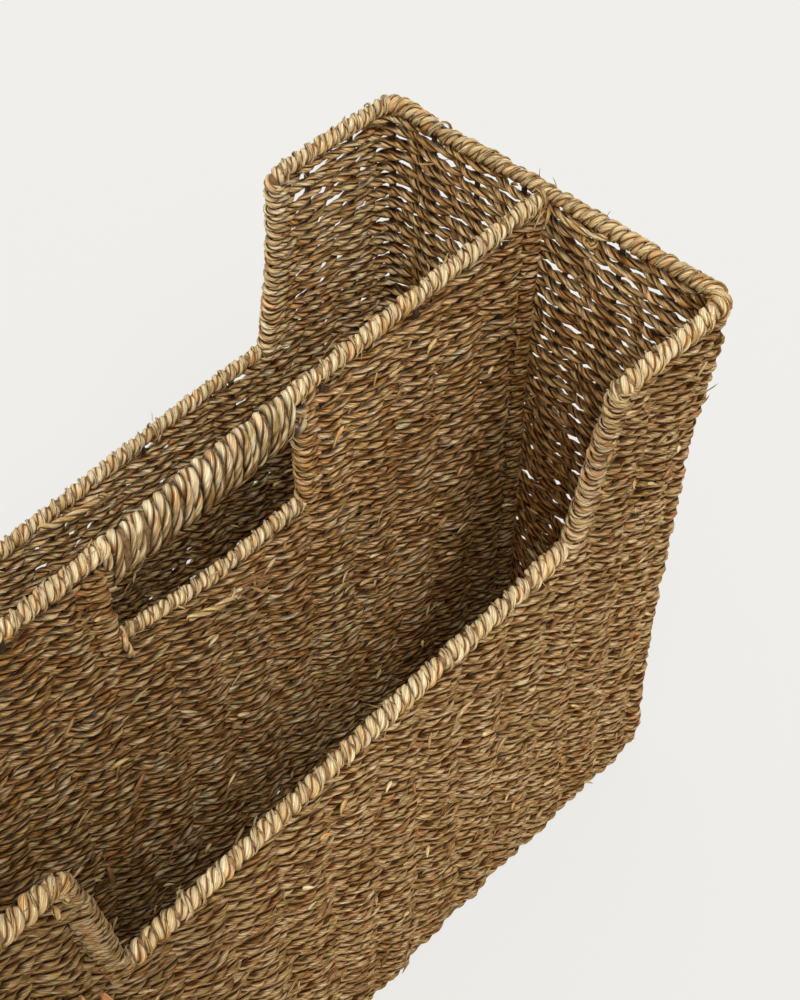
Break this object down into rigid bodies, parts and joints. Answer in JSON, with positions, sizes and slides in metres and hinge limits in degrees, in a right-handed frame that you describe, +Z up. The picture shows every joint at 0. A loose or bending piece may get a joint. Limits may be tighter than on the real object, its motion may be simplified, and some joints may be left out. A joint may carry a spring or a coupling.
{
  "type": "magazine basket",
  "caption": "Rectangular floor basket of twisted seagrass cord over a steel rod frame, with high ends, dipped long sides and a full-height divider with a wound grip over a hand slot.",
  "frame": {"origin": "middle of the underside, on the floor", "axes": "+X along the basket towards its right end, +Y towards its back, +Z up"},
  "size_m": [0.46, 0.203, 0.38],
  "materials": {
    "steel_rod": "dark brown lacquered steel rod, slightly rough, hidden under the cord but for slits in the ends",
    "wall_cord": "two-ply twisted seagrass cord, olive-tan to brown, matt with dry fibre streaks",
    "rim_strip": "pale straw strips bound obliquely round the rim rods, orange-brown in the crevices",
    "grip_cord": "pale greenish straw cord wound round the grip, matt with fine fibres"
  },
  "bodies": {
    "root": {"base_frame": "steel_rod", "front_frame": "steel_rod", "back_frame": "steel_rod", "left_end_frame": "steel_rod", "right_end_frame": "steel_rod", "divider_frame": "steel_rod", "base_weave": "wall_cord", "front_weave": "wall_cord", "back_weave": "wall_cord", "left_end_weave": "wall_cord", "right_end_weave": "wall_cord", "divider_weave": "wall_cord", "left_end_rim_binding": "rim_strip", "right_end_rim_binding": "rim_strip", "front_left_ear_binding": "rim_strip", "front_right_ear_binding": "rim_strip", "back_left_ear_binding": "rim_strip", "back_right_ear_binding": "rim_strip", "front_low_rim_binding": "rim_strip", "back_low_rim_binding": "rim_strip", "divider_left_rim_binding": "rim_strip", "divider_right_rim_binding": "rim_strip", "hand_slot_rim_binding": "rim_strip", "grip_core": "wall_cord", "grip_winding": "grip_cord"}
  },
  "joints": []
}
